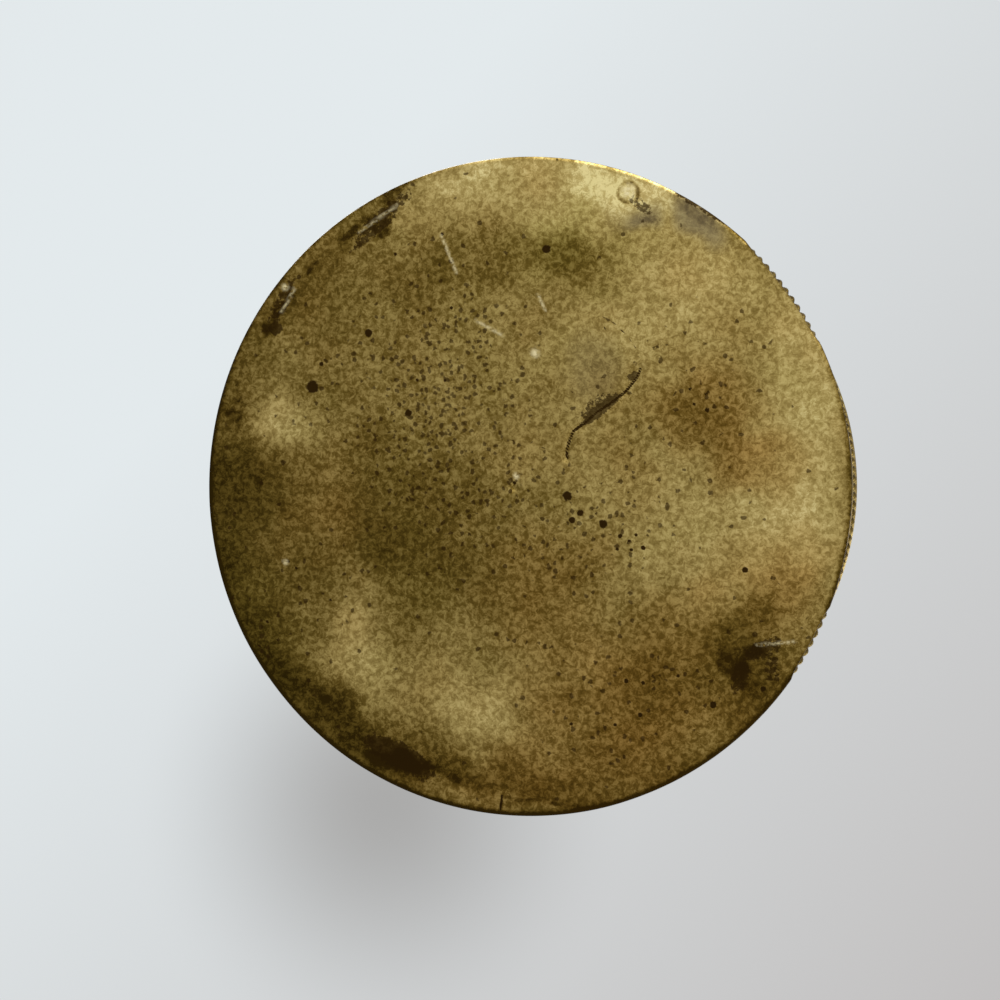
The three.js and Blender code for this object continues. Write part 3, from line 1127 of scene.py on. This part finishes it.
def wear_wall(piece, seam):
    points = points_of(piece)
    low, high = points[:, 2].min(), points[:, 2].max()
    share = (points[:, 2] - low) / (high - low)
    radius = np.hypot(points[:, 0], points[:, 1])
    outside = (radius > (WALL_RADIUS + WALL_INNER) / 2).astype(float)
    worn = np.clip(np.minimum(share, 1 - share) / CORNER_SHARE, 0, 1)
    rounds = np.degrees(np.arctan2(points[:, 1], points[:, 0]))
    off_seam = np.abs((rounds - seam + 180) % 360 - 180) * math.radians(1) * WALL_RADIUS
    scorch = band(off_seam, 0, SCORCH_WIDTH)
    film = outside * (WALL_WEAR * worn - OUTER_FILM) - INNER_FILM * (1 - outside)
    paint(piece, "tone", film - SCORCH_SHADE * scorch)
    paint(piece, "warmth", SCORCH_WARMTH * scorch)
    paint(piece, "pitting", 0.02 + 0.04 * outside)
    piece.data.materials.append(SHEET_BRASS)


wear_wall(body_wall, BODY_SEAM)
wear_wall(lid_skirt, SKIRT_SEAM)

# %% [markdown]
# ## Inner collar
# A thinner ring is soldered inside the body and stands above its lip. It is drawn in a little
# there, so the lid slides over it. A straight tube would be simpler, but it would either bind in
# the lid or stand off the wall. Its rubbed upper part is the brightest brass of the box.

# %% Collar
COLLAR_STAND = 5.0
SLIP_GAP = 0.25
COLLAR_LEAD_IN = 0.35
COLLAR_EASE = 0.10
COLLAR_RUB = 0.24
COLLAR_FILM = 0.04

collar_bottom, collar_top = heights("inner_collar")
lip_height = collar_top - COLLAR_STAND
soldered = WALL_INNER - SOLDER_FILM
slipped = WALL_INNER - SLIP_GAP
shoulder = lip_height - 2 * COLLAR_SHEET
collar_bm = outline_bmesh((
    (soldered, collar_bottom),
    (soldered, shoulder),
    (slipped, lip_height),
    (slipped, collar_top - COLLAR_LEAD_IN),
    (slipped - COLLAR_LEAD_IN, collar_top),
    (slipped - COLLAR_SHEET, collar_top),
    (slipped - COLLAR_SHEET, lip_height),
    (soldered - COLLAR_SHEET, shoulder),
    (soldered - COLLAR_SHEET, collar_bottom),
), COLLAR_EASE)
spin_round(collar_bm)
collar = to_object("inner_collar_ring", collar_bm, "box", "brass_sheet", "inner_collar")
collar_points = points_of(collar)
collar_radius = np.hypot(collar_points[:, 0], collar_points[:, 1])
rubbed = (collar_points[:, 2] > lip_height) * (collar_radius > slipped - COLLAR_SHEET / 2)
paint(collar, "tone", COLLAR_RUB * rubbed - COLLAR_FILM)
paint(collar, "pitting", np.full(len(collar_points), 0.08))
collar.data.materials.append(INNER_BRASS)

# %% [markdown]
# ## Twisted wire borders
# Two strands twisted together show as a row of slanted beads. Two coiled tubes would do it too, but
# with most of their mesh hidden inside. Here the section is spun round as a plain circle, and then
# every point is moved: out along the two strands, in at the valleys between them, and turned
# further at each station. That keeps one clean grid of squares along the whole border. The two
# ends butt with a small gap.

# %% Twist a wire ring
STRAND_PITCH = 1.05
STATIONS_PER_TURN = 12
SECTION_POINTS = 16
VALLEY = 0.42
STRAND_ROUNDNESS = 1.3
BUTT_GAP = 0.3
CROWN_WEAR = 0.42
WIRE_FILM = 0.26
VALLEY_STAIN = 0.55


def twist_strands(bm, turns, crown):
    for vert in bm.verts:
        along = math.atan2(vert.co.y, vert.co.x) % (2 * math.pi)
        section = math.atan2(vert.co.z, math.hypot(vert.co.x, vert.co.y) - ROPE_RING)
        lobe = VALLEY + (1 - VALLEY) * abs(math.cos(section)) ** STRAND_ROUNDNESS
        twisted = section - turns * along
        reach = STRAND * lobe
        outward = ROPE_RING + reach * math.cos(twisted)
        vert[crown] = (lobe - VALLEY) / (1 - VALLEY) * (0.65 + 0.35 * math.cos(twisted))
        vert.co = (outward * math.cos(along), outward * math.sin(along), reach * math.sin(twisted))


def twisted_border(name, node, body, butt_angle):
    low, high = heights(node)
    turns = round(math.pi * ROPE_RING / STRAND_PITCH)
    bm = bmesh.new()
    bmesh.ops.create_circle(bm, segments=SECTION_POINTS, radius=1.0)
    turn_round(bm, math.pi / 2, "X")
    bmesh.ops.translate(bm, vec=(ROPE_RING, 0, 0), verts=bm.verts)
    spin_with_gap(bm, 0.0, BUTT_GAP / 2 / ROPE_RING, turns * STATIONS_PER_TURN)
    twist_strands(bm, turns, bm.verts.layers.float.new("crown"))
    turn_round(bm, math.radians(butt_angle))
    bmesh.ops.translate(bm, vec=(0, 0, (low + high) / 2), verts=bm.verts)
    border_ring = to_object(name, bm, body, "brass_wire", node, smooth_below=80)
    shine = np.empty(len(border_ring.data.vertices), dtype=np.float32)
    border_ring.data.attributes["crown"].data.foreach_get("value", shine)
    paint(border_ring, "tone", CROWN_WEAR * shine - WIRE_FILM)
    paint(border_ring, "stain", VALLEY_STAIN * np.clip(1 - 3 * shine, 0, 1))
    border_ring.data.materials.append(WIRE_BRASS)


twisted_border("base_wire_border", "base_rope", "box", butt_angle=110)
twisted_border("lid_wire_border", "lid_rope", "lid", butt_angle=18)

# %% [markdown]
# ## Lip wire
# A half-round wire stiffens the lid's lower edge and gives the fingers a hold. It could be a bulge
# of the skirt, but such a wire is soldered on, so it is a piece of its own. Its profile is half an
# oval, spun all the way round, and it is polished by use along its crown.

# %% Half-round wire
WIRE_ARC_STEPS = 10
LIP_WIRE_DEPTH = 1.1
LIP_WIRE_RUB = 0.34
LIP_WIRE_FILM = 0.05

wire_bottom, wire_top = heights("lid_lip_wire")
wire_half = (wire_top - wire_bottom) / 2
wire_inner = WALL_RADIUS + SOLDER_FILM
wire_outline = []
for step in range(WIRE_ARC_STEPS + 1):
    turn = -math.pi / 2 + math.pi * step / WIRE_ARC_STEPS
    wire_outline.append((
        wire_inner + LIP_WIRE_DEPTH * math.cos(turn),
        wire_bottom + wire_half + wire_half * math.sin(turn),
    ))
wire_bm = outline_bmesh(wire_outline, 0.0)
spin_round(wire_bm, 2 * TURN_STEPS)
lip_wire = to_object("lid_lip_half_round", wire_bm, "lid", "brass_wire", "lid_lip_wire")
wire_points = points_of(lip_wire)
wire_reach = (np.hypot(wire_points[:, 0], wire_points[:, 1]) - wire_inner) / LIP_WIRE_DEPTH
paint(lip_wire, "tone", LIP_WIRE_RUB * np.clip(wire_reach, 0, 1) ** 2 - LIP_WIRE_FILM)
lip_wire.data.materials.append(WIRE_BRASS)

# %% [markdown]
# ## Lid disc
# The lid is a raised disc: a flat border, a small step and a low dome. A flat disc would drum and
# dent, which is why such lids are raised. The outline is drawn from the axis out along the
# underside and back over the top, with arcs for the dome, and spun. Worn brass shows on the step
# and the middle of the dome, and the film is darkest in the step's foot.

# %% Lid outline
BORDER_WIDTH = 5.0
STEP_WIDTH = 1.4
STEP_RISE = 0.7
DOME_RISE = 1.8
DOME_STEPS = 22
LID_HEADROOM = 0.02
EDGE_PROFILE = ((0.22, 0.0), (0.08, 0.05), (0.01, 0.18))
STEP_FOOT = ((0.5, 0.0), (0.12, 0.03), (-0.2, 0.14))
STEP_HEAD = ((0.45, 0.16), (0.2, 0.06))

lid_low, lid_top = heights("lid_disc")
step_outer = DISC_RADIUS - BORDER_WIDTH
step_inner = step_outer - STEP_WIDTH
sphere = (step_inner ** 2 + DOME_RISE ** 2) / (2 * DOME_RISE)


def dome(border_height):
    arc = []
    for step in range(DOME_STEPS + 1):
        radius = step_inner * (1 - step / DOME_STEPS)
        rise = math.sqrt(sphere ** 2 - radius ** 2) - (sphere - DOME_RISE)
        arc.append((radius, border_height + STEP_RISE + rise - LID_HEADROOM))
    return arc


def sheet_edge(under, sheet):
    lower = [(DISC_RADIUS - inset, under + rise) for inset, rise in EDGE_PROFILE]
    upper = [(DISC_RADIUS - inset, under + sheet - rise) for inset, rise in reversed(EDGE_PROFILE)]
    return lower + upper


def raised_side(height):
    foot = [(step_outer + out, height + rise) for out, rise in STEP_FOOT]
    head = [(step_inner + out, height + STEP_RISE - drop) for out, drop in STEP_HEAD]
    return foot + head + dome(height)


print("lid rises", round(lid_top - lid_low, 2), "mm over its border's underside")

# %% Spin the lid
RIPPLE_SIZE = 11
RIPPLE_LAYER = 2.2
RIPPLE_HEIGHT = 0.03
RIPPLE_START = 3

lid_bm = bmesh.new()
lid_line = list(reversed(raised_side(lid_low))) + sheet_edge(lid_low, LID_SHEET)
lid_line += raised_side(lid_low + LID_SHEET)
lid_verts = [lid_bm.verts.new((radius, 0.0, height)) for radius, height in lid_line]
for first, second in zip(lid_verts, lid_verts[1:]):
    lid_bm.edges.new((first, second))
spin_round(lid_bm)
for vert in lid_bm.verts:
    radius = math.hypot(vert.co.x, vert.co.y)
    ripple = noise.noise((vert.co.x / RIPPLE_SIZE, vert.co.y / RIPPLE_SIZE, RIPPLE_LAYER)) - 0.5
    off_edge = min(1.0, max(0.0, (DISC_RADIUS - radius) / RIPPLE_START))
    vert.co.z += RIPPLE_HEIGHT * ripple * off_edge
lid_disc = to_object("lid_disc_sheet", lid_bm, "lid", "brass_sheet", "lid_disc")

# %% Wear on the lid
lid_points = points_of(lid_disc)
lid_radius = np.hypot(lid_points[:, 0], lid_points[:, 1])
foot_film = band(lid_radius, step_outer + 0.3, 0.55)
step_rub = band(lid_radius, step_inner + 0.2, 0.5)
edge_rub = band(lid_radius, DISC_RADIUS - 0.15, 0.25)
middle_rub = band(lid_radius, 0, 17)
paint(lid_disc, "tone", 0.16 * step_rub + 0.14 * edge_rub + 0.08 * middle_rub - 0.30 * foot_film)
paint(lid_disc, "warmth", 0.5 * foot_film)
paint(lid_disc, "pitting", 0.03 + 0.12 * foot_film)
lid_disc.data.materials.append(SHEET_BRASS)

# %% [markdown]
# ## Solder fillets
# Solder fills the inside corners of the body and of the lid. A straight bevel would look machined:
# real solder draws up into a hollow face and runs unevenly. So the outline is an arc that is drawn
# in, and the spun ring is nudged by noise along its free face.

# %% Fillets
FILLET_LEG = 0.9
FILLET_REACH = FILLET_LEG * 0.999
FILLET_HOLLOW = 0.16
FILLET_STEPS = 5
FREE_FACE = 0.02
RUN_SIZE = 2.2
RUN_DEPTH = 0.10


def fillet(name, node, body, up):
    low, high = heights(node)
    foot = low if up > 0 else high
    outer = WALL_INNER - SOLDER_FILM
    outline = [(outer, foot)]
    for step in range(FILLET_STEPS + 1):
        turn = math.pi / 2 * step / FILLET_STEPS
        drawn_in = 1 - FILLET_HOLLOW * math.sin(2 * turn)
        outline.append((
            outer - FILLET_LEG + FILLET_REACH * math.cos(turn) * drawn_in,
            foot + up * FILLET_LEG * (1 - math.sin(turn)),
        ))
    bm = outline_bmesh(outline if up < 0 else list(reversed(outline)), 0.0)
    spin_round(bm)
    for vert in bm.verts:
        radius = math.hypot(vert.co.x, vert.co.y)
        if radius < outer - FREE_FACE and abs(vert.co.z - foot) > FREE_FACE:
            run_place = (vert.co.x / RUN_SIZE, vert.co.y / RUN_SIZE, vert.co.z)
            push = RUN_DEPTH * noise.noise(run_place)
            vert.co.x *= 1 + push / radius
            vert.co.y *= 1 + push / radius
    ring = to_object(name, bm, body, "solder", node)
    ring.data.materials.append(SOLDER)


fillet("base_solder_fillet", "base_solder", "box", 1)
fillet("lid_solder_fillet", "lid_solder", "lid", -1)

# %% [markdown]
# ## Stage and light
# The box is seen from below, so the floor it stands on must not hide it: its material is solid from
# above and clear from below. What shows behind the box from below is the room itself, nearly white
# at the upper left, greyer at the lower right, with a soft shade beyond the lower left rim.

# %% Floor
FLOOR_COLOUR = (0.74, 0.75, 0.76, 1.0)
FLOOR_HALF_SIDE = 2.0

floor_bm = bmesh.new()
bmesh.ops.create_grid(floor_bm, x_segments=1, y_segments=1, size=FLOOR_HALF_SIDE)
floor_mesh = bpy.data.meshes.new("floor")
floor_bm.to_mesh(floor_mesh)
floor_bm.free()
floor = bpy.data.objects.new("floor", floor_mesh)
bpy.context.collection.objects.link(floor)

floor_material, floor_tree, floor_shader = new_material("pale_floor")
floor_shader.inputs["Base Color"].default_value = FLOOR_COLOUR
floor_shader.inputs["Roughness"].default_value = 0.9
clear = add(floor_tree, "ShaderNodeBsdfTransparent")
floor_side = add(floor_tree, "ShaderNodeNewGeometry").outputs["Backfacing"]
floor_mix = add(floor_tree, "ShaderNodeMixShader")
feed(floor_tree, floor_side, floor_mix.inputs[0])
feed(floor_tree, floor_shader.outputs["BSDF"], floor_mix.inputs[1])
feed(floor_tree, clear.outputs["BSDF"], floor_mix.inputs[2])
feed(floor_tree, floor_mix.outputs["Shader"], floor_tree.nodes["Material Output"].inputs["Surface"])
floor_mesh.materials.append(floor_material)
floor.visible_shadow = False
floor.visible_diffuse = False
floor.visible_glossy = False
print("floor is", 2 * FLOOR_HALF_SIDE, "m wide")

# %% Room
ROOM = (0.70, 0.70, 0.70, 1.0)
ROOM_LIGHT_SIDE = (0.77, 0.82, 0.84, 1.0)
ROOM_DUSK_SIDE = (0.47, 0.44, 0.43, 1.0)
ROOM_SHADE = (0.32, 0.31, 0.30, 1.0)
LIGHT_SLANT = -0.50
DUSK_SLANT = 0.62
SHADE_PX = (385, 800)
SHADE_REACH = 0.16
SHADE_DEPTH = 0.75
OVERHEAD_START = 0.60
OVERHEAD_END = 0.85

world = bpy.data.worlds.new("pale_room")
world.use_nodes = True
sky = world.node_tree
direction = add(sky, "ShaderNodeTexCoord").outputs["Generated"]
sky_axes = add(sky, "ShaderNodeSeparateXYZ")
feed(sky, direction, sky_axes.inputs["Vector"])
slant = calc(sky, "ADD", sky_axes.outputs["X"], sky_axes.outputs["Y"])
dusk = spread(sky, slant, LIGHT_SLANT, DUSK_SLANT, curve="LINEAR")
room_colour = blend_colours(sky, dusk, ROOM_LIGHT_SIDE, ROOM_DUSK_SIDE)
shade_direction = (camera_turn @ pixel_ray(*SHADE_PX)).normalized()
from_shade = add(sky, "ShaderNodeVectorMath", operation="DISTANCE")
feed(sky, direction, from_shade.inputs[0])
feed(sky, shade_direction, from_shade.inputs[1])
shade = spread(sky, from_shade.outputs["Value"], SHADE_REACH, 0.0, 0.0, SHADE_DEPTH)
room_colour = blend_colours(sky, shade, room_colour, ROOM_SHADE)
overhead = spread(sky, sky_axes.outputs["Z"], OVERHEAD_START, OVERHEAD_END)
room_colour = blend_colours(sky, overhead, ROOM, room_colour)
feed(sky, room_colour, sky.nodes["Background"].inputs["Color"])
bpy.context.scene.world = world
bpy.context.scene.view_settings.view_transform = "Standard"
print("shade lies towards", [round(part, 2) for part in shade_direction])

# %% [markdown]
# A soft window stands beyond the upper edge of the picture, so the upper rim catches its sheen,
# and a weaker one fills from the other side. The same pair stands above, for the other views.

# %% Light
def soft_lamp(name, place, watts, size):
    data = bpy.data.lights.new(name, "AREA")
    data.energy = watts
    data.size = size
    lamp = bpy.data.objects.new(name, data)
    lamp.location = place
    lamp.rotation_mode = "QUATERNION"
    lamp.rotation_quaternion = (-Vector(place)).to_track_quat("-Z", "Y")
    bpy.context.collection.objects.link(lamp)


soft_lamp("window_below", (0.12, -0.42, -0.34), watts=2.6, size=0.35)
soft_lamp("fill_below", (0.30, 0.30, -0.36), watts=0.9, size=0.4)
soft_lamp("window_above", (-0.35, -0.35, 0.5), watts=3.4, size=0.4)
soft_lamp("fill_above", (0.4, 0.3, 0.35), watts=1.2, size=0.4)
print(len(bpy.data.lights), "lamps")
